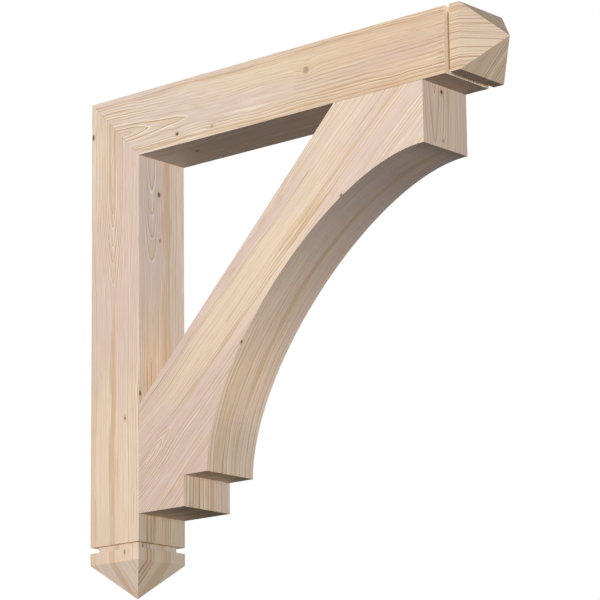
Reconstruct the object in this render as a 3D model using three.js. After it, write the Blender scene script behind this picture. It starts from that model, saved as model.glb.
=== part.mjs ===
// A timber corbel bracket: a wall post and a top beam that meet in a mitre, and an arched brace between them.
// Units are millimetres. X points out from the wall, Y runs along the wall and Z is up.
// The origin is the centre of the post's plain back face, which lies flat against the wall.
import * as THREE from 'three';

// Sawn timber: a nominal 6 by 6 inch post, dressed to 5 1/2 inches square
const TIMBER_WIDTH = 139.7;
const JOINT_GAP = 0.3;

// Overall reach of the two straight timbers, measured to the tips of their points
const PROJECTION = 1077;
const DROP = 1077;

// Pointed end, from the tip back: a pyramid, a square block and a groove cut round all four sides
const POINT_LENGTH = 69.85;
const BLOCK_LENGTH = 25.4;
const GROOVE_WIDTH = 12.7;
const GROOVE_DEPTH = 12.7;
const POINTED_END = POINT_LENGTH + BLOCK_LENGTH + GROOVE_WIDTH;

// Brace: its seats on the beam and the post, and how far it stops short of the grooves
const BEAM_SEAT = 228.6;
const POST_SEAT = 228.6;
const BRACE_SETBACK = 57;
const NOSE_HEIGHT = 128;
const FOOT_DEPTH = 128;
const STEP_DEPTH = 65;
const STEP_RISE = 65;

// The arch leaves the nose level and meets the step upright, and these lengths set how full it is
const ARCH_NOSE_HANDLE = 237;
const ARCH_STEP_HANDLE = 237;
const ARCH_SEGMENTS = 48;

const SQUARE_SIDES = 4;
const HALF_WIDTH = TIMBER_WIDTH / 2;
const BEAM_SHAFT = PROJECTION - POINTED_END;
const POST_SHAFT = DROP - POINTED_END;

function wood(colour) {
  return new THREE.MeshStandardMaterial({ color: colour, roughness: 0.7, metalness: 0, flatShading: true });
}

// A straight timber along +Y with its long side on the YZ plane. Its far end is grooved and pointed,
// and its near end is mitred from the corner at the origin.
function pointedTimber(shaftLength) {
  // A lathe of four sides is a square bar, and its radius runs to the corners of the square
  const corner = HALF_WIDTH * Math.SQRT2;
  const neck = (HALF_WIDTH - GROOVE_DEPTH) * Math.SQRT2;
  const grooveEnd = shaftLength + GROOVE_WIDTH;
  const blockEnd = grooveEnd + BLOCK_LENGTH;
  const profile = [
    new THREE.Vector2(0, 0),
    new THREE.Vector2(corner, 0),
    new THREE.Vector2(corner, shaftLength),
    new THREE.Vector2(neck, shaftLength),
    new THREE.Vector2(neck, grooveEnd),
    new THREE.Vector2(corner, grooveEnd),
    new THREE.Vector2(corner, blockEnd),
    new THREE.Vector2(0, blockEnd + POINT_LENGTH),
  ];
  const bar = new THREE.LatheGeometry(profile, SQUARE_SIDES, Math.PI / 4);
  bar.translate(HALF_WIDTH, 0, 0);
  return mitreNearEnd(bar);
}

// Slides the points of the square near end along the bar, onto the plane of a 45 degree mitre.
// Half of the joint's gap is taken off square to that plane.
function mitreNearEnd(bar) {
  const setBack = (JOINT_GAP / 2) * Math.SQRT2;
  const points = bar.getAttribute('position');
  for (let i = 0; i < points.count; i += 1) {
    if (points.getY(i) === 0) {
      points.setY(i, points.getX(i) + setBack);
    }
  }
  return bar;
}

function wallPost() {
  const post = new THREE.Mesh(pointedTimber(POST_SHAFT), wood(0xdfc8ae));
  post.name = 'wall_post';
  post.rotation.x = -Math.PI / 2;
  return post;
}

// The beam is a post turned half round about the diagonal of the corner, from hanging down to reaching out
function topBeam() {
  const beam = new THREE.Mesh(pointedTimber(BEAM_SHAFT), wood(0xe3cbb0));
  beam.name = 'top_beam';
  beam.rotation.x = -Math.PI / 2;
  const turned = new THREE.Group();
  turned.quaternion.setFromAxisAngle(new THREE.Vector3(1, 0, -1).normalize(), Math.PI);
  turned.add(beam);
  return turned;
}

// The brace's side outline, with x out from the wall and y up from the corner of the bracket
function braceOutline() {
  const beamUnderside = -(TIMBER_WIDTH + JOINT_GAP);
  const postFront = TIMBER_WIDTH + JOINT_GAP;
  const noseX = BEAM_SHAFT - BRACE_SETBACK;
  const noseY = beamUnderside - NOSE_HEIGHT;
  const footX = postFront + FOOT_DEPTH;
  const footY = -(POST_SHAFT - BRACE_SETBACK);
  const stepX = footX + STEP_DEPTH;
  const stepY = footY + STEP_RISE;

  const outline = new THREE.Shape();
  outline.moveTo(noseX - BEAM_SEAT, beamUnderside);
  outline.lineTo(postFront, footY + POST_SEAT);
  outline.lineTo(postFront, footY);
  outline.lineTo(footX, footY);
  outline.lineTo(footX, stepY);
  outline.lineTo(stepX, stepY);
  outline.bezierCurveTo(stepX, stepY + ARCH_STEP_HANDLE, noseX - ARCH_NOSE_HANDLE, noseY, noseX, noseY);
  outline.lineTo(noseX, beamUnderside);
  outline.closePath();
  return outline;
}

function archedBrace() {
  const geometry = new THREE.ExtrudeGeometry(braceOutline(), {
    depth: TIMBER_WIDTH,
    bevelEnabled: false,
    curveSegments: ARCH_SEGMENTS,
  });
  geometry.translate(0, 0, -HALF_WIDTH);
  const brace = new THREE.Mesh(geometry, wood(0xe6d2bc));
  brace.name = 'arched_brace';
  brace.rotation.x = Math.PI / 2;
  return brace;
}

// All three pieces are set out from the bracket's upper back corner, half a shaft above the origin
const bracket = new THREE.Group();
bracket.position.z = POST_SHAFT / 2;
bracket.add(wallPost());
bracket.add(topBeam());
bracket.add(archedBrace());

export default bracket;
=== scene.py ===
"""The looks of the timber corbel bracket: camera, studio light and a procedural planed softwood."""
import math
from collections import namedtuple

import bpy
from mathutils import Matrix, Vector

# Driving sizes, in metres. X points out from the wall, Y runs along the wall and Z is up.
TIMBER_WIDTH = 0.1397
PROJECTION = 1.077
POINT_LENGTH = 0.06985
BLOCK_LENGTH = 0.0254
GROOVE_WIDTH = 0.0127
GROOVE_DEPTH = 0.0127
BRACE_SETBACK = 0.057

# Places worked out from them. The origin is on the wall, half a shaft below the bracket's upper corner.
SHAFT = PROJECTION - POINT_LENGTH - BLOCK_LENGTH - GROOVE_WIDTH
HALF_WIDTH = TIMBER_WIDTH / 2
CORNER_HEIGHT = SHAFT / 2
NEAR_SIDE = -HALF_WIDTH
POST_MIDDLE = HALF_WIDTH
POST_FRONT = TIMBER_WIDTH
POST_GROOVE = CORNER_HEIGHT - SHAFT - GROOVE_WIDTH
BEAM_MIDDLE = CORNER_HEIGHT - HALF_WIDTH
BEAM_UNDERSIDE = CORNER_HEIGHT - TIMBER_WIDTH
BEAM_GROOVE = SHAFT
NOSE_FACE = SHAFT - BRACE_SETBACK
NECK = HALF_WIDTH - GROOVE_DEPTH

# Camera, solved from the corners that the photograph shows
AZIMUTH = math.radians(40.74)
ELEVATION = math.radians(-13.527)
ROLL = math.radians(-0.709)
DISTANCE = 6.0942
TARGET = Vector((0.52734, 0.0, -0.02566))
SENSOR = 36.0
LENS = 179.575
CLIP_END = 200.0

# The key hangs just left of the camera and a little below the bracket. The other two stand behind the
# bracket and behind the wall, so they reach only faces that the photograph doesn't show. Angles are in
# degrees and powers in watts.
Light = namedtuple("Light", "azimuth elevation power")
LIGHTS = {
    "key": Light(32.0, -5.6, 398.0),
    "back": Light(200.0, 8.0, 300.0),
    "top": Light(270.0, 44.0, 350.0),
}
LIGHT_DISTANCE = 12.0
LIGHT_SIZE = 3.6
LIGHT_SPREAD = math.radians(90.0)

# Studio: how bright its world and floor look to the camera, and how bright they are as light
WORLD_SEEN = 1.0
WORLD_LIGHT = 0.197
FLOOR_SEEN = 0.94
FLOOR_LIGHT = 0.0
FLOOR_BOUNCE = 0.035
FLOOR_LEVEL = -3.0
FLOOR_SIZE = 80.0

# The timbers' corners are eased a little
EDGE_RADIUS = 0.00015
EDGE_SEGMENTS = 2
EDGE_ANGLE = math.radians(30)

# Wood colours, linear
CREAM = (0.83, 0.66, 0.485)
PINK = (0.72, 0.55, 0.468)
TAN = (0.72, 0.51, 0.33)
STRIPE = (0.66, 0.43, 0.25)
RING_LINE = (0.46, 0.265, 0.14)
DARK_LINE = (0.38, 0.215, 0.11)
PALE_LINE = (0.96, 0.84, 0.68)
KNOT_WOOD = (0.13, 0.075, 0.04)

# Painted light: ends where a groove cuts straight across the grain are brightened by this against the wood's
# colour
END_PAINTED_LIGHT = (1.12, 1.18, 1.14)

# How squarely a face cuts the grain where it begins to have a cut face's tone and where it has it fully, and
# the same for the painted light on a straight end
CUT_FACE = (0.3, 0.6)
STRAIGHT_END = (0.9, 0.98)

# Surface of the planed wood
ROUGHNESS = 0.6
GLOSS = 0.3
BUMP_STRENGTH = 0.06
BUMP_DEPTH = 0.0004
FIBRE_BUMP = 0.3

# Noises in the wood: a seed of its own, the lumps to the metre along and across the grain, and the detail
Pattern = namedtuple("Pattern", "seed fine_along fine_across detail", defaults=(2.0,))
SLOW_BENDS = Pattern(0.0, 2.2, 8.0)
SHORT_BENDS = Pattern(6.6, 8.0, 15.0, 1.0)
FINE_BENDS = Pattern(3.1, 11.0, 45.0)
DEPTHS = Pattern(2.4, 7.0, 1.0)
ROLLS = Pattern(1.9, 3.2, 14.0)
RING_GROUPS = Pattern(5.7, 1.0, 24.0, 1.0)
SINGLE_RINGS = Pattern(8.3, 1.0, 90.0, 1.0)
BANDS = Pattern(9.3, 1.1, 26.0)
CLOUDS = Pattern(7.7, 2.6, 11.0)
FADING = Pattern(6.1, 3.5, 90.0)
FLAMES = Pattern(2.2, 5.0, 150.0)
STREAKS = Pattern(3.6, 6.0, 330.0)
FIBRES = Pattern(4.4, 22.0, 600.0)
UNEVEN_STRIPES = Pattern(31.0, 3.0, 90.0)

# Bends of the rings, as lengths and as parts of the wave, and the changes and least depth of their crown
FINE_BEND = 0.0008
SHORT_BEND_PART = 0.55
ROLL_PART = 0.35
DEPTH_CHANGE = 0.0015
LEAST_DEPTH = 0.001

# How far groups of rings and single rings are out of their even spacing, in rings
GROUP_SHIFT = 0.8
SINGLE_SHIFT = 0.22

# How far along the crown's rise an arch begins to show and shows fully, and the part of a ring within which
# its brown heart fades out
ARCH_SHOWS = (0.02, 0.2)
HEART_FADE = 0.06

# The brown line's part of a ring, where the face cuts the rings flat and where it cuts them steeply
FLAT_LINE_PART = 0.05
STEEP_LINE_PART = 0.25

# Where in a ring its marks begin and are full, or end. The brown line begins this many line parts before the
# ring's end, and the pale line ends this many after its start.
WARM_BEGINS = (0.2, 0.9)
WARM_ENDS = (1.0, 0.97)
LINE_BEGINS = 2.0
LINE_ENDS = (1.0, 0.98)
PALE_BEGINS = (0.0, 0.02)
PALE_ENDS = 1.6

# Levels of the noises, and of chance, at which what they bring begins to show and shows fully
CREAM_WOOD = (-0.9, 0.9)
LINED_WOOD = (-0.8, 0.7)
TAN_FLAMES = (0.2, 1.0)
PALE_FLAMES = (-0.3, -1.0)
BROWN_STREAKS = (0.4, 1.1)
PALE_STREAKS = (-0.4, -1.0)
BROWN_FIBRES = (0.1, 0.9)
PALE_FIBRES = (-0.1, -0.9)
STRONG_RING = (0.1, 1.0)

# What the noises weigh, and the middle about which the rings' fading swings
BANDS_WEIGHT = 0.4
CLOUDS_WEIGHT = 0.5
FADING_WEIGHT = 0.5
FADING_MIDDLE = 0.75

# How strong the rings' marks and the streaks are in plain wood, and in lined wood
MARK_STRENGTH = (0.2, 1.0)
STREAK_STRENGTH = (0.15, 0.55)

# How strong the marks are outside an arch, and inside it, and how strong a ring in an arch is at least
ARCH_WEIGHT = (0.1, 0.8)
WARM_STRENGTH = (0.45, 0.80)
PALE_STRENGTH = (0.60, 0.75)
ARCHED_RING = 0.75

# How strong the brown lines of the faintest and of the strongest rings are
LINE_STRENGTH = (0.15, 1.0)

# How much of the wood under them the strongest lines, the brown heart of an arch and the fibres cover
LINE_COVER = 0.85
HEART_COVER = 0.45
BROWN_FIBRE_COVER = 0.2
PALE_FIBRE_COVER = 0.22

# Ripples of the stripes: their seeds, which differ from place to place across, and their lumps to the metre
STRIPE_SEED = 31.0
STRIPE_SEEDS_TO_METRE = 900.0
WOBBLE_SEED = 5.0
RAGGED_LUMPS = 6.0
WOBBLE_LUMPS = 5.0

# Stripes, in half widths: how ragged their edges are, how far they wobble, over what length they taper off
# at their ends, and how far from the middle they begin to show and show fully
RAGGEDNESS = 0.6
WOBBLE = 0.3
TAPER = 12.0
STRIPE_EDGE = (1.4, 0.6)

# Stripes grow stronger and fainter by this much about their middle strength, down to the least
UNEVENNESS = 0.3
MIDDLE_STRENGTH = 0.9
LEAST_STRENGTH = 0.1

# Knots, in radii: the edges of their dark core and brown rim, how broadly they bend the rings, and how far.
# The rim is this much of the knot's strength.
CORE_EDGE = (1.2, 0.5)
RIM_EDGE = (3.0, 0.8)
KNOT_BEND = 3.0
KNOT_PUSH = 0.8
RIM_PART = 0.5

# The painted shade on a groove's neck, which stands in for the shadow in the recess, fades out between these
# distances from the timber's middle, and over this length at the groove's two ends
NECK_SHADE_EDGE = (NECK + 0.003, NECK + 0.0005)
NECK_SHADE_END = 0.001

# The far side has the near side's grain, moved this far across. The faces between them have other seeds for
# their colours.
FAR_SIDE_SHIFT = 0.013
EDGE_COLOUR_SEED = 0.5

# Arch: where along the grain the crown of the rings rises toward the face, and how far, so that the rings
# close in nested arches
Arch = namedtuple("Arch", "start end lift")

# Stripe: a brown band or a thin dark line, between two places along the grain
Stripe = namedtuple("Stripe", "across half_width strength start end")

# Patch: a long soft spot, creamy where cream is above 0 and pink below it, lined where lines is above 0
# and plain below it
Patch = namedtuple("Patch", "along across length width cream lines")

# Knot: its middle on a face, its radius across the grain, how many times longer it is along it, and how dark
Knot = namedtuple("Knot", "x y z radius stretch strength")

# Groove: where along the grain it starts, the timber's middle across the grain, and its neck's painted shade
Groove = namedtuple("Groove", "start middle tone")

# Grain: how the rings meet one set of a timber's faces. Their crown runs along the centre at this depth
# under the face, spacing is from ring to ring, and wave is how far they bend. The arch is round where
# roundness is 2 and more pointed toward 1. The colour changes slowly from tone at the timber's first end to
# far_tone at the other, and faces cut across the grain have the cut_tone. On the sides, tone and far_tone
# are the wood's own. On the faces between the sides they are painted light and shade: faces that look down
# are made darker and greyer, and the brace's lower arch lighter. Heart is how many rings inside the arch are
# brown, and boldness is how strongly the rings show.
Grain = namedtuple(
    "Grain",
    "centre depth spacing wave roundness arch stripes lines patches "
    "tone far_tone cut_tone seed heart boldness",
    defaults=(0, 1.0),
)

# Look: all that one timber's wood is made from. Its tones, partly painted light and shade, change between
# the two ends.
Look = namedtuple("Look", "slot along_axis across_axis ends groove side edge knots")

# Here: what the grain of one set of faces says about one place. Bent is the place across after the bends,
# and line_part is how broad a ring's last brown line is, as a part of the ring.
Here = namedtuple("Here", "rings bent line_part arched heart stripes lines cream lining")

UP = (0.0, 0.0, 1.0)
OUT = (1.0, 0.0, 0.0)
ALONG_WALL = (0.0, 1.0, 0.0)
BRACE_GRAIN = math.radians(42)
BRACE_ALONG = (math.cos(BRACE_GRAIN), 0.0, math.sin(BRACE_GRAIN))
BRACE_ACROSS = (-math.sin(BRACE_GRAIN), 0.0, math.cos(BRACE_GRAIN))

# A place along the grain that is past the end of every timber
FAR = 2.0

# Heights of thin lines on the side of the beam's outer half, and of dark ones on its block and point
OUTER_LINES = (0.438, 0.421, 0.413, 0.404, 0.396, 0.388, 0.379, 0.371, 0.363)
POINT_LINES = (0.4505, 0.4384, 0.4221, 0.4068, 0.3898, 0.3814, 0.3717, 0.3613)

POST_SIDE = Grain(
    centre=0.062, depth=0.0315, spacing=0.0046, wave=0.0022, roundness=1.5, heart=3, boldness=1.2,
    arch=Arch(0.02, 0.30, 0.0255),
    stripes=[
        Stripe(0.062, 0.004, 0.45, 0.195, 0.20),
        Stripe(0.062, 0.006, 0.30, 0.10, 0.13),
        Stripe(0.065, 0.0065, 0.75, -FAR, 0.02),
        Stripe(0.006, 0.010, 0.40, -FAR, -0.15),
    ],
    lines=[
        Stripe(0.078, 0.0009, 0.5, -FAR, -0.30),
        Stripe(0.055, 0.0009, 0.35, -FAR, 0.0),
    ],
    patches=[
        Patch(-0.30, 0.06, 0.24, 0.08, 0.9, -0.7),
        Patch(0.08, 0.10, 0.30, 0.05, -1.2, -0.6),
        Patch(0.38, 0.02, 0.12, 0.04, 0.8, 0.6),
        Patch(0.05, 0.03, 0.22, 0.06, -1.0, -0.3),
        Patch(-0.55, 0.09, 0.06, 0.06, 0.2, -1.5),
    ],
    tone=(0.92, 0.91, 0.92), far_tone=(0.96, 0.98, 0.99), cut_tone=(1.05, 1.07, 1.16), seed=1.7,
)
POST_EDGE = Grain(
    centre=-0.032, depth=0.030, spacing=0.0040, wave=0.002, roundness=2.3, boldness=0.8,
    arch=Arch(0.04, 0.42, 0.020),
    stripes=[
        Stripe(0.0145, 0.0105, 0.65, -FAR, FAR),
        Stripe(0.0145, 0.004, 0.95, 0.16, FAR),
        Stripe(-0.035, 0.022, 0.45, -FAR, -0.02),
        Stripe(0.045, 0.002, 0.5, 0.18, 0.28),
    ],
    lines=[
        Stripe(0.0235, 0.001, 0.5, 0.0, FAR),
        Stripe(-0.0436, 0.0013, 0.9, -FAR, -0.12),
        Stripe(-0.0316, 0.0013, 1.0, -FAR, -0.10),
        Stripe(-0.0225, 0.0013, 0.9, -FAR, -0.14),
    ],
    patches=[
        Patch(0.20, -0.04, 0.25, 0.05, -1.2, -0.6),
        Patch(0.20, 0.05, 0.30, 0.02, 0.2, 0.4),
        Patch(-0.14, -0.03, 0.14, 0.04, 1.2, 1.2),
        Patch(-0.42, 0.0, 0.06, 0.08, 0.5, 0.8),
        Patch(-0.56, 0.02, 0.05, 0.08, 0.6, -1.5),
    ],
    # Painted light and shade: the post's front and back go from dark at the bottom to light and greyish at
    # the top.
    tone=(0.81, 0.84, 0.85), far_tone=(1.00, 1.08, 1.18), cut_tone=(1.03, 1.03, 1.06), seed=4.2,
)
BEAM_SIDE = Grain(
    centre=0.399, depth=0.026, spacing=0.0062, wave=0.0048, roundness=1.6, boldness=1.15,
    arch=Arch(0.35, -0.03, 0.023),
    stripes=[
        Stripe(0.470, 0.003, 0.50, -FAR, FAR),
        Stripe(0.355, 0.005, 0.45, -FAR, FAR),
        Stripe(0.453, 0.0022, 0.60, -FAR, 0.10),
        Stripe(0.441, 0.0018, 0.50, -FAR, 0.15),
        Stripe(0.427, 0.0015, 0.50, -FAR, 0.08),
    ],
    lines=[
        Stripe(0.4745, 0.001, 0.6, -FAR, FAR),
        Stripe(0.356, 0.0012, 0.7, -FAR, 0.30),
        Stripe(0.352, 0.0009, 0.5, -FAR, 0.22),
        *(Stripe(height, 0.0009, 0.9, 0.95, FAR) for height in POINT_LINES),
        *(Stripe(height, 0.0008, 0.5, 0.58, 0.97) for height in OUTER_LINES),
    ],
    patches=[
        Patch(0.66, 0.448, 0.40, 0.024, 0.2, -1.3),
        Patch(0.80, 0.375, 0.40, 0.030, 0.4, 1.6),
        Patch(0.25, 0.40, 0.20, 0.05, -1.5, -0.5),
        Patch(0.08, 0.45, 0.12, 0.05, -0.3, 0.6),
        Patch(1.02, 0.415, 0.06, 0.10, 0.4, 1.2),
    ],
    tone=(0.98, 1.04, 1.05), far_tone=(0.855, 0.815, 0.76), cut_tone=(0.73, 0.72, 0.72), seed=7.9,
)
BEAM_EDGE = Grain(
    centre=0.02, depth=0.022, spacing=0.0056, wave=0.003, roundness=1.6,
    arch=Arch(0.2, 0.5, 0.015),
    stripes=[Stripe(-0.03, 0.004, 0.4, -FAR, FAR)],
    lines=[],
    patches=[],
    # Painted shade: the beam's underside and top are darker and greyer than its sides, most toward the
    # point.
    tone=(0.72, 0.785, 0.88), far_tone=(0.64, 0.63, 0.64), cut_tone=(0.97, 0.97, 0.92), seed=12.1,
)
BRACE_SIDE = Grain(
    centre=-0.348, depth=0.022, spacing=0.0050, wave=0.004, roundness=1.6,
    arch=Arch(0.035, -0.12, 0.017),
    stripes=[
        Stripe(-0.311, 0.004, 0.7, 0.40, FAR),
        Stripe(-0.325, 0.005, 0.9, 0.44, 0.60),
        Stripe(-0.334, 0.004, 0.65, 0.05, 0.42),
        Stripe(-0.446, 0.007, 0.4, -FAR, 0.15),
    ],
    lines=[
        Stripe(-0.251, 0.0011, 0.75, -FAR, 0.60),
        Stripe(-0.303, 0.0009, 0.5, 0.25, 0.55),
        Stripe(-0.292, 0.0009, 0.5, 0.60, FAR),
        Stripe(-0.216, 0.0009, 0.5, 0.50, FAR),
    ],
    patches=[
        Patch(0.32, -0.290, 0.28, 0.035, 1.2, -1.8),
        Patch(-0.035, -0.4125, 0.22, 0.10, -1.8, -0.1),
        Patch(0.728, -0.387, 0.15, 0.05, -0.7, -0.3),
        Patch(0.10, -0.25, 0.10, 0.04, -0.6, 0.5),
        Patch(0.42, -0.232, 0.22, 0.012, -0.8, -0.6),
        Patch(0.40, -0.335, 0.22, 0.020, 0.2, 1.2),
    ],
    tone=(0.87, 0.86, 0.88), far_tone=(0.94, 0.96, 0.98), cut_tone=(0.94, 0.94, 0.94), seed=21.3,
)
BRACE_EDGE = Grain(
    centre=-0.034, depth=0.030, spacing=0.0056, wave=0.003, roundness=1.6,
    arch=Arch(0.78, 0.98, 0.018),
    stripes=[
        Stripe(0.0145, 0.005, 0.8, -FAR, 0.80),
        Stripe(0.0145, 0.0055, 1.0, 0.90, FAR),
        Stripe(-0.036, 0.017, 0.50, -FAR, 0.20),
        Stripe(0.002, 0.006, 0.35, -FAR, 0.10),
    ],
    lines=[
        Stripe(-0.052, 0.0012, 0.6, -FAR, 0.0),
        Stripe(-0.0427, 0.0012, 0.6, -FAR, 0.0),
        Stripe(-0.0246, 0.0014, 0.7, -FAR, 0.04),
        Stripe(0.008, 0.0009, 0.5, 0.30, FAR),
    ],
    patches=[
        Patch(0.0, -0.03, 0.14, 0.05, 1.2, 0.6),
        Patch(0.65, 0.0, 0.20, 0.1, -0.8, -0.8),
    ],
    # Painted light and shade: the arch is lighter at its lower end and darker toward its upper end, which
    # faces down.
    tone=(1.33, 1.31, 1.26), far_tone=(0.71, 0.74, 0.78), cut_tone=(0.93, 0.95, 0.98), seed=27.4,
)

LOOKS = {
    "wall_post": Look(
        slot="post_wood", along_axis=UP, across_axis=OUT, ends=(-0.50, 0.40),
        groove=Groove(POST_GROOVE, POST_MIDDLE, (0.90, 0.95, 1.02)),
        side=POST_SIDE, edge=POST_EDGE,
        knots=[
            Knot(0.0035, NEAR_SIDE, 0.4104, 0.0044, 1.6, 0.9),
            Knot(0.0998, NEAR_SIDE, -0.2208, 0.0026, 1.8, 0.8),
            Knot(POST_FRONT, -0.066, -0.173, 0.0032, 2.0, 0.9),
            Knot(0.099, NEAR_SIDE, -0.5036, 0.003, 2.2, 0.55),
            Knot(POST_FRONT, -0.0079, 0.2686, 0.0046, 1.4, 0.95),
            Knot(POST_FRONT, -0.005, 0.1675, 0.0036, 1.3, 0.5),
        ],
    ),
    "top_beam": Look(
        slot="beam_wood", along_axis=OUT, across_axis=UP, ends=(0.05, 0.90),
        groove=Groove(BEAM_GROOVE, BEAM_MIDDLE, (0.45, 0.40, 0.36)),
        side=BEAM_SIDE, edge=BEAM_EDGE,
        knots=[
            Knot(0.251, NEAR_SIDE, 0.3683, 0.0044, 1.1, 0.95),
            Knot(0.3511, NEAR_SIDE, 0.3651, 0.0036, 1.1, 0.45),
            Knot(0.6113, NEAR_SIDE, 0.4301, 0.0085, 1.0, 0.42),
            Knot(0.2495, -0.0064, BEAM_UNDERSIDE, 0.005, 1.2, 0.8),
        ],
    ),
    "arched_brace": Look(
        slot="brace_wood", along_axis=BRACE_ALONG, across_axis=BRACE_ACROSS, ends=(-0.10, 0.80),
        groove=None,
        side=BRACE_SIDE, edge=BRACE_EDGE,
        knots=[
            Knot(0.6989, NEAR_SIDE, 0.1492, 0.003, 1.4, 0.8),
            Knot(0.4289, NEAR_SIDE, -0.1086, 0.003, 1.4, 0.9),
            Knot(0.5370, NEAR_SIDE, 0.1720, 0.006, 2.4, 0.09),
            Knot(0.4880, NEAR_SIDE, 0.1320, 0.006, 3.0, 0.09),
            Knot(0.4020, NEAR_SIDE, 0.0420, 0.006, 2.4, 0.08),
            Knot(NOSE_FACE, -0.0098, 0.3322, 0.0046, 1.3, 0.95),
            Knot(NOSE_FACE, -0.0072, 0.2317, 0.0036, 1.2, 0.5),
        ],
    ),
}


class Sums:
    """Short names for the value nodes that a material is worked out with."""

    def __init__(self, tree):
        self.nodes = tree.nodes
        self.links = tree.links

    def feed(self, socket, value):
        if isinstance(value, bpy.types.NodeSocket):
            self.links.new(value, socket)
        else:
            socket.default_value = value

    def math(self, operation, *values):
        node = self.nodes.new("ShaderNodeMath")
        node.operation = operation
        for socket, value in zip(node.inputs, values):
            self.feed(socket, value)
        return node.outputs["Value"]

    def add(self, a, b):
        return self.math("ADD", a, b)

    def take(self, a, b):
        return self.math("SUBTRACT", a, b)

    def times(self, a, b):
        return self.math("MULTIPLY", a, b)

    def most(self, a, b):
        return self.math("MAXIMUM", a, b)

    def size(self, value):
        return self.math("ABSOLUTE", value)

    def between(self, value, low, high):
        """Low where the value is 0, and high where it is 1."""
        return self.add(self.times(value, high - low), low)

    def vector_math(self, operation, a, b):
        node = self.nodes.new("ShaderNodeVectorMath")
        node.operation = operation
        self.feed(node.inputs[0], a)
        self.feed(node.inputs[1], b)
        return node.outputs

    def dot(self, vector, axis):
        return self.vector_math("DOT_PRODUCT", vector, axis)["Value"]

    def offset(self, vector, point):
        return self.vector_math("SUBTRACT", vector, point)["Vector"]

    def product(self, a, b):
        return self.vector_math("MULTIPLY", a, b)["Vector"]

    def vector(self, x, y, z):
        node = self.nodes.new("ShaderNodeCombineXYZ")
        for socket, value in zip(node.inputs, (x, y, z)):
            self.feed(socket, value)
        return node.outputs["Vector"]

    def rise(self, value, start, end):
        """0 before start, 1 after end, and a smooth step between them. It falls where end is below start."""
        node = self.nodes.new("ShaderNodeMapRange")
        node.interpolation_type = "SMOOTHSTEP"
        self.feed(node.inputs["Value"], value)
        self.feed(node.inputs["From Min"], start)
        self.feed(node.inputs["From Max"], end)
        return node.outputs["Result"]

    def hill(self, value, half_width):
        """1 at 0, falling off as a bell of this half width."""
        scaled = self.math("DIVIDE", value, half_width)
        return self.math("EXPONENT", self.times(self.times(scaled, scaled), -1.0))

    def centred(self, level):
        """A noise node's level, which mostly keeps within a quarter of 0.5, as about -1 to 1."""
        return self.times(self.take(level, 0.5), 4.0)

    def noise(self, along, across, seed, pattern):
        """Noise of about -1 to 1."""
        node = self.nodes.new("ShaderNodeTexNoise")
        lengthwise = self.times(along, pattern.fine_along)
        crosswise = self.times(across, pattern.fine_across)
        place = self.vector(lengthwise, crosswise, self.add(seed, pattern.seed))
        self.feed(node.inputs["Vector"], place)
        node.inputs["Scale"].default_value = 1.0
        node.inputs["Detail"].default_value = pattern.detail
        return self.centred(node.outputs["Fac"])

    def ripple(self, along, seed, fine):
        """Noise of about -1 to 1 along one line.

        The stripes use it, because the renderer has no room in one material for as many broader noises.
        """
        node = self.nodes.new("ShaderNodeTexNoise")
        node.noise_dimensions = "1D"
        self.feed(node.inputs["W"], self.add(self.times(along, fine), seed))
        node.inputs["Scale"].default_value = 1.0
        node.inputs["Detail"].default_value = 1.0
        return self.centred(node.outputs["Fac"])

    def chance(self, value):
        """A number from 0 to 1 that looks random and stays the same for one value."""
        node = self.nodes.new("ShaderNodeTexWhiteNoise")
        node.noise_dimensions = "1D"
        self.feed(node.inputs["W"], value)
        return node.outputs["Value"]

    def either(self, factor, a, b):
        """The value a where the factor is 0, and b where it is 1."""
        node = self.nodes.new("ShaderNodeMix")
        self.feed(node.inputs["Factor"], factor)
        self.feed(node.inputs["A"], a)
        self.feed(node.inputs["B"], b)
        return node.outputs["Result"]

    def colour(self, factor, a, b):
        """The colour a where the factor is 0, b where it is 1, and their mix between."""
        node = self.nodes.new("ShaderNodeMix")
        node.data_type = "RGBA"
        self.feed(node.inputs["Factor"], factor)
        for name, value in (("A", a), ("B", b)):
            socket = [s for s in node.inputs if s.name == name and s.type == "RGBA"][0]
            self.feed(socket, (*value, 1.0) if isinstance(value, tuple) else value)
        return [s for s in node.outputs if s.type == "RGBA"][0]


def direction(azimuth, elevation):
    """The way from the object to a viewer at this azimuth and elevation, in radians."""
    level = math.cos(elevation)
    return Vector((math.sin(azimuth) * level, -math.cos(azimuth) * level, math.sin(elevation)))


def place_camera():
    data = bpy.data.cameras.new("photo_camera")
    data.sensor_width = SENSOR
    data.lens = LENS
    data.clip_end = CLIP_END
    camera = bpy.data.objects.new("photo_camera", data)
    back = direction(AZIMUTH, ELEVATION)
    right = Vector((math.cos(AZIMUTH), math.sin(AZIMUTH), 0.0))
    up = back.cross(right)
    rolled_right = math.cos(ROLL) * right + math.sin(ROLL) * up
    rolled_up = math.cos(ROLL) * up - math.sin(ROLL) * right
    turn = Matrix((rolled_right, rolled_up, back)).transposed().to_4x4()
    camera.matrix_world = Matrix.Translation(TARGET + back * DISTANCE) @ turn
    bpy.context.scene.collection.objects.link(camera)
    bpy.context.scene.camera = camera


def area_light(name, settings):
    data = bpy.data.lights.new(name, "AREA")
    data.shape = "DISK"
    data.size = LIGHT_SIZE
    data.spread = LIGHT_SPREAD
    data.energy = settings.power
    light = bpy.data.objects.new(name, data)
    away = direction(math.radians(settings.azimuth), math.radians(settings.elevation))
    light.location = TARGET + away * LIGHT_DISTANCE
    light.rotation_euler = away.to_track_quat("Z", "Y").to_euler()
    bpy.context.scene.collection.objects.link(light)


def seen_or_lighting(nodes, links, seen, lighting):
    """One value for what the camera sees of the studio, and another for the light from it."""
    rays = nodes.new("ShaderNodeLightPath")
    mix = nodes.new("ShaderNodeMix")
    mix.inputs["A"].default_value = lighting
    mix.inputs["B"].default_value = seen
    links.new(rays.outputs["Is Camera Ray"], mix.inputs["Factor"])
    return mix.outputs["Result"]


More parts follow.
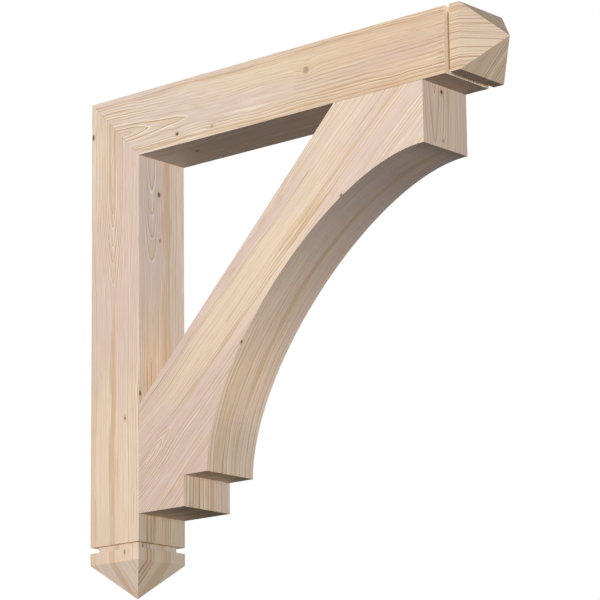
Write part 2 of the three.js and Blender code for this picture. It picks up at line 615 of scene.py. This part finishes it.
def studio_world():
    """White to the camera, and a dim even fill to everything else."""
    world = bpy.data.worlds.new("studio")
    world.use_nodes = True
    nodes = world.node_tree.nodes
    links = world.node_tree.links
    background = nodes["Background"]
    background.inputs["Color"].default_value = (1.0, 1.0, 1.0, 1.0)
    strength = seen_or_lighting(nodes, links, WORLD_SEEN, WORLD_LIGHT)
    links.new(strength, background.inputs["Strength"])
    bpy.context.scene.world = world


def lay_floor():
    """A plain pale floor. It throws little light back up, because the photograph's undersides are dark."""
    bpy.ops.mesh.primitive_plane_add(size=FLOOR_SIZE, location=(0.0, 0.0, FLOOR_LEVEL))
    floor = bpy.context.object
    floor.name = "studio_floor"
    material = bpy.data.materials.new("studio_floor")
    material.use_nodes = True
    nodes = material.node_tree.nodes
    links = material.node_tree.links
    surface = nodes["Principled BSDF"]
    surface.inputs["Base Color"].default_value = (FLOOR_BOUNCE, FLOOR_BOUNCE, FLOOR_BOUNCE, 1.0)
    surface.inputs["Roughness"].default_value = 1.0
    surface.inputs["Specular IOR Level"].default_value = 0.0
    surface.inputs["Emission Color"].default_value = (1.0, 1.0, 1.0, 1.0)
    strength = seen_or_lighting(nodes, links, FLOOR_SEEN, FLOOR_LIGHT)
    links.new(strength, surface.inputs["Emission Strength"])
    floor.data.materials.append(material)


def ease_edges(timber):
    bevel = timber.modifiers.new("eased_edges", "BEVEL")
    bevel.width = EDGE_RADIUS
    bevel.segments = EDGE_SEGMENTS
    bevel.limit_method = "ANGLE"
    bevel.angle_limit = EDGE_ANGLE


def knot_fields(sums, place, along_axis, knots):
    """The dark cores of the knots, the brown rims about them, and how far each pushes the rings aside."""
    cores = 0.0
    rims = 0.0
    push = 0.0
    for knot in knots:
        way = sums.offset(place, (knot.x, knot.y, knot.z))
        lengthwise = sums.dot(way, along_axis)
        shorter = sums.times(sums.times(lengthwise, lengthwise), 1.0 - 1.0 / knot.stretch ** 2)
        distance = sums.math("SQRT", sums.take(sums.dot(way, way), shorter))
        core = sums.rise(distance, *(knot.radius * edge for edge in CORE_EDGE))
        rim = sums.rise(distance, *(knot.radius * edge for edge in RIM_EDGE))
        cores = sums.most(cores, sums.times(core, knot.strength))
        rims = sums.most(rims, sums.times(rim, knot.strength * RIM_PART))
        bend = sums.hill(distance, knot.radius * KNOT_BEND)
        push = sums.add(push, sums.times(bend, knot.radius * KNOT_PUSH))
    return cores, rims, push


def ring_field(sums, along, across, grain, push):
    """The rings on one set of faces.

    Gives the count of rings, the place across after the bends, the part of a ring that its last brown line
    takes, where the rings close in arches, and the arch's brown heart. A ring that the face cuts flat is
    broad, so its line is a smaller part of it.
    """
    slow = sums.times(sums.noise(along, across, grain.seed, SLOW_BENDS), grain.wave)
    short = sums.times(sums.noise(along, across, grain.seed, SHORT_BENDS), grain.wave * SHORT_BEND_PART)
    fine = sums.times(sums.noise(along, across, grain.seed, FINE_BENDS), FINE_BEND)
    bent = sums.add(sums.add(across, sums.add(slow, short)), sums.add(fine, push))
    aside = sums.take(bent, grain.centre)

    deeper = sums.times(sums.noise(along, 0.0, grain.seed, DEPTHS), DEPTH_CHANGE)
    closing = sums.rise(along, grain.arch.start, grain.arch.end)
    depth = sums.take(sums.add(deeper, grain.depth), sums.times(closing, grain.arch.lift))
    arched = sums.times(sums.rise(closing, *ARCH_SHOWS), sums.hill(aside, grain.depth))

    level = sums.math("POWER", sums.size(aside), grain.roundness)
    upright = sums.math("POWER", sums.most(depth, LEAST_DEPTH), grain.roundness)
    radius = sums.math("POWER", sums.add(level, upright), 1.0 / grain.roundness)
    rolling = sums.times(sums.noise(along, across, grain.seed, ROLLS), grain.wave * ROLL_PART)
    radius = sums.add(radius, rolling)

    groups = sums.times(sums.noise(0.0, radius, grain.seed, RING_GROUPS), GROUP_SHIFT)
    single = sums.times(sums.noise(0.0, radius, grain.seed, SINGLE_RINGS), SINGLE_SHIFT)
    count = sums.add(sums.math("DIVIDE", radius, grain.spacing), sums.add(groups, single))
    steepness = sums.math("DIVIDE", sums.size(aside), sums.most(radius, grain.spacing))
    line_part = sums.between(steepness, FLAT_LINE_PART, STEEP_LINE_PART)
    heart = sums.rise(count, grain.heart, grain.heart - HEART_FADE) if grain.heart else 0.0
    return count, bent, line_part, arched, heart


def stripe_field(sums, along, bent, stripes):
    """How strongly the stripes show. Their edges are ragged, and they wobble and taper off at their ends."""
    total = 0.0
    for stripe in stripes:
        taper = stripe.half_width * TAPER
        begun = sums.rise(along, stripe.start - taper, stripe.start + taper)
        ended = sums.rise(along, stripe.end + taper, stripe.end - taper)
        seed = STRIPE_SEED + stripe.across * STRIPE_SEEDS_TO_METRE
        ragged = sums.times(sums.ripple(along, seed, RAGGED_LUMPS), RAGGEDNESS)
        wobble = sums.ripple(along, seed + WOBBLE_SEED, WOBBLE_LUMPS)
        wobble = sums.times(wobble, stripe.half_width * WOBBLE)
        aside = sums.size(sums.take(sums.add(bent, wobble), stripe.across))
        edge = sums.add(sums.math("DIVIDE", aside, stripe.half_width), ragged)
        band = sums.times(sums.rise(edge, *STRIPE_EDGE), stripe.strength)
        total = sums.most(total, sums.times(band, sums.times(begun, ended)))
    uneven = sums.times(sums.noise(along, bent, 0.0, UNEVEN_STRIPES), UNEVENNESS)
    return sums.times(total, sums.most(sums.add(uneven, MIDDLE_STRENGTH), LEAST_STRENGTH))


def patch_fields(sums, along, bent, patches):
    """How much creamier and how much more lined the patches make the wood."""
    cream = 0.0
    lining = 0.0
    for patch in patches:
        lengthwise = sums.hill(sums.take(along, patch.along), patch.length)
        crosswise = sums.hill(sums.take(bent, patch.across), patch.width)
        strength = sums.times(lengthwise, crosswise)
        cream = sums.add(cream, sums.times(strength, patch.cream))
        lining = sums.add(lining, sums.times(strength, patch.lines))
    return cream, lining


def face_grain(sums, along, across, grain, push):
    """What the grain of one set of faces says about a place."""
    rings, bent, line_part, arched, heart = ring_field(sums, along, across, grain, push)
    stripes = stripe_field(sums, along, bent, grain.stripes)
    lines = stripe_field(sums, along, bent, grain.lines)
    cream, lining = patch_fields(sums, along, bent, grain.patches)
    return Here(rings, bent, line_part, arched, heart, stripes, lines, cream, lining)


def plain_wood(sums, along, here, seed):
    """Cream and pink wood in long bands and clouds, and how lined it is."""
    bands = sums.noise(along, here.bent, seed, BANDS)
    clouds = sums.noise(along, here.bent, seed, CLOUDS)
    mood = sums.add(sums.times(bands, BANDS_WEIGHT), sums.times(clouds, CLOUDS_WEIGHT))
    cream = sums.rise(sums.add(mood, here.cream), *CREAM_WOOD)
    lined = sums.most(sums.rise(sums.add(mood, here.lining), *LINED_WOOD), here.arched)
    return sums.colour(cream, PINK, CREAM), sums.between(lined, *MARK_STRENGTH)


def ring_marks(sums, along, here, seed, weight):
    """How strongly the marks of the rings show.

    Each ring warms slowly and ends in a thin brown line, and a pale line starts the next. By chance some
    rings are fainter than others, but less so in an arch.
    """
    part = sums.math("FRACT", here.rings)
    ring = sums.math("FLOOR", here.rings)
    fading = sums.times(sums.noise(along, here.bent, seed, FADING), FADING_WEIGHT)
    fading = sums.add(fading, FADING_MIDDLE)
    weight = sums.times(weight, sums.most(fading, sums.between(here.arched, *ARCH_WEIGHT)))
    chance = sums.rise(sums.chance(ring), *STRONG_RING)
    own = sums.most(chance, sums.times(here.arched, ARCHED_RING))
    before = sums.rise(sums.chance(sums.take(ring, 1.0)), *STRONG_RING)

    warm = sums.times(sums.rise(part, *WARM_BEGINS), sums.rise(part, *WARM_ENDS))
    warm = sums.times(sums.times(warm, own), sums.between(here.arched, *WARM_STRENGTH))
    line_start = sums.take(1.0, sums.times(here.line_part, LINE_BEGINS))
    line_full = sums.take(1.0, here.line_part)
    line = sums.times(sums.rise(part, line_start, line_full), sums.rise(part, *LINE_ENDS))
    line = sums.times(sums.times(line, weight), sums.between(own, *LINE_STRENGTH))
    pale_end = sums.times(here.line_part, PALE_ENDS)
    pale = sums.times(sums.rise(part, *PALE_BEGINS), sums.rise(part, pale_end, here.line_part))
    pale = sums.times(sums.times(pale, weight), before)
    return warm, line, pale


def grained_wood(sums, along, here, seed, boldness):
    """The wood's colour with its rings, streaks and stripes, and how high its lines stand for the bump."""
    base, lined = plain_wood(sums, along, here, seed)
    warm, line, pale = ring_marks(sums, along, here, seed, sums.times(lined, boldness))
    base = sums.colour(warm, base, TAN)

    # Flame-shaped streaks and short thin streaks
    flames = sums.noise(along, here.bent, seed, FLAMES)
    streaks = sums.noise(along, here.bent, seed, STREAKS)
    strength = sums.between(lined, *STREAK_STRENGTH)
    base = sums.colour(sums.times(sums.rise(flames, *TAN_FLAMES), strength), base, TAN)
    base = sums.colour(sums.times(sums.rise(flames, *PALE_FLAMES), strength), base, PALE_LINE)
    base = sums.colour(sums.times(sums.rise(streaks, *BROWN_STREAKS), strength), base, RING_LINE)
    base = sums.colour(sums.times(sums.rise(streaks, *PALE_STREAKS), strength), base, PALE_LINE)

    # Stripes, lines and fine fibres
    fibres = sums.noise(along, here.bent, seed, FIBRES)
    brown_fibres = sums.times(sums.rise(fibres, *BROWN_FIBRES), BROWN_FIBRE_COVER)
    pale_fibres = sums.times(sums.rise(fibres, *PALE_FIBRES), PALE_FIBRE_COVER)
    pale = sums.times(pale, sums.between(here.arched, *PALE_STRENGTH))
    base = sums.colour(sums.most(here.stripes, sums.times(here.heart, HEART_COVER)), base, STRIPE)
    base = sums.colour(sums.times(line, LINE_COVER), base, RING_LINE)
    base = sums.colour(sums.times(here.lines, LINE_COVER), base, DARK_LINE)
    base = sums.colour(pale, base, PALE_LINE)
    base = sums.colour(brown_fibres, base, RING_LINE)
    base = sums.colour(pale_fibres, base, PALE_LINE)
    return base, sums.add(line, sums.times(fibres, FIBRE_BUMP))


def face_tone_and_shade(sums, on_side, along, facing, look):
    """The tone changes from end to end, and is painted light and shade on the faces between the sides. Cut
    faces and straight ends have their own.
    """
    far = sums.rise(along, *look.ends)
    side_tone = sums.colour(far, look.side.tone, look.side.far_tone)
    edge_tone_and_shade = sums.colour(far, look.edge.tone, look.edge.far_tone)
    tone = sums.colour(on_side, edge_tone_and_shade, side_tone)
    cut_tone = sums.colour(on_side, look.edge.cut_tone, look.side.cut_tone)
    tone = sums.colour(sums.rise(facing, *CUT_FACE), tone, cut_tone)
    # Straight ends are brightened: painted light.
    return sums.colour(sums.rise(facing, *STRAIGHT_END), tone, END_PAINTED_LIGHT)


def neck_shade_field(sums, along, across, thickness, groove):
    """1 on the neck at the bottom of the groove, where its painted shade goes, and 0 elsewhere."""
    end = groove.start + GROOVE_WIDTH
    begun = sums.rise(along, groove.start - NECK_SHADE_END, groove.start)
    ended = sums.rise(along, end, end - NECK_SHADE_END)
    outward = sums.most(sums.size(sums.take(across, groove.middle)), sums.size(thickness))
    return sums.times(sums.times(begun, ended), sums.rise(outward, *NECK_SHADE_EDGE))


def wood(name, look):
    """Planed softwood. The side faces and the faces between them each have a grain of their own."""
    material = bpy.data.materials.new(name)
    material.use_nodes = True
    sums = Sums(material.node_tree)
    place = sums.nodes.new("ShaderNodeTexCoord").outputs["Object"]
    normal = sums.nodes.new("ShaderNodeNewGeometry").outputs["True Normal"]
    on_side = sums.math("GREATER_THAN", sums.size(sums.dot(normal, ALONG_WALL)), 0.5)
    facing = sums.size(sums.dot(normal, look.along_axis))
    along = sums.dot(place, look.along_axis)
    across = sums.dot(place, look.across_axis)
    thickness = sums.dot(place, ALONG_WALL)
    far_side = sums.times(sums.math("GREATER_THAN", thickness, 0.0), FAR_SIDE_SHIFT)

    cores, rims, push = knot_fields(sums, place, look.along_axis, look.knots)
    side_here = face_grain(sums, along, sums.add(across, far_side), look.side, push)
    edge_here = face_grain(sums, along, thickness, look.edge, push)
    here = Here(*(sums.either(on_side, *pair) for pair in zip(edge_here, side_here)))
    boldness = sums.either(on_side, look.edge.boldness, look.side.boldness)
    seed = sums.either(on_side, look.edge.seed + EDGE_COLOUR_SEED, look.side.seed)

    base, height = grained_wood(sums, along, here, seed, boldness)
    base = sums.colour(rims, base, STRIPE)
    base = sums.colour(cores, base, KNOT_WOOD)
    # The tones go on here, with the painted light and shade on the faces between the sides.
    base = sums.product(base, face_tone_and_shade(sums, on_side, along, facing, look))
    # The neck at the bottom of a groove is darkened: painted shade for the groove's shadow.
    if look.groove:
        neck = neck_shade_field(sums, along, across, thickness, look.groove)
        base = sums.product(base, sums.colour(neck, (1.0, 1.0, 1.0), look.groove.tone))

    surface = sums.nodes["Principled BSDF"]
    sums.links.new(base, surface.inputs["Base Color"])
    surface.inputs["Roughness"].default_value = ROUGHNESS
    surface.inputs["Specular IOR Level"].default_value = GLOSS
    bump = sums.nodes.new("ShaderNodeBump")
    bump.inputs["Strength"].default_value = BUMP_STRENGTH
    bump.inputs["Distance"].default_value = BUMP_DEPTH
    sums.links.new(height, bump.inputs["Height"])
    sums.links.new(bump.outputs["Normal"], surface.inputs["Normal"])
    return material


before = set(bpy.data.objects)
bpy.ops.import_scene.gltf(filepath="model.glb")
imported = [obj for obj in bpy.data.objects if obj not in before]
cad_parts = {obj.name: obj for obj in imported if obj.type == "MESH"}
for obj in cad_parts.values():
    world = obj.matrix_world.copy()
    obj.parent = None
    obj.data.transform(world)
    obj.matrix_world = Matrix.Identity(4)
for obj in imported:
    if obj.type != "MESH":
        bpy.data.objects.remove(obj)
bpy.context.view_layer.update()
place_camera()
studio_world()
for name, settings in LIGHTS.items():
    area_light(name, settings)
lay_floor()
for name, look in LOOKS.items():
    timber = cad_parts[name]
    timber.data.materials.clear()
    timber.data.materials.append(wood(name, look))
    ease_edges(timber)

bpy.context.scene.view_settings.view_transform = "Standard"
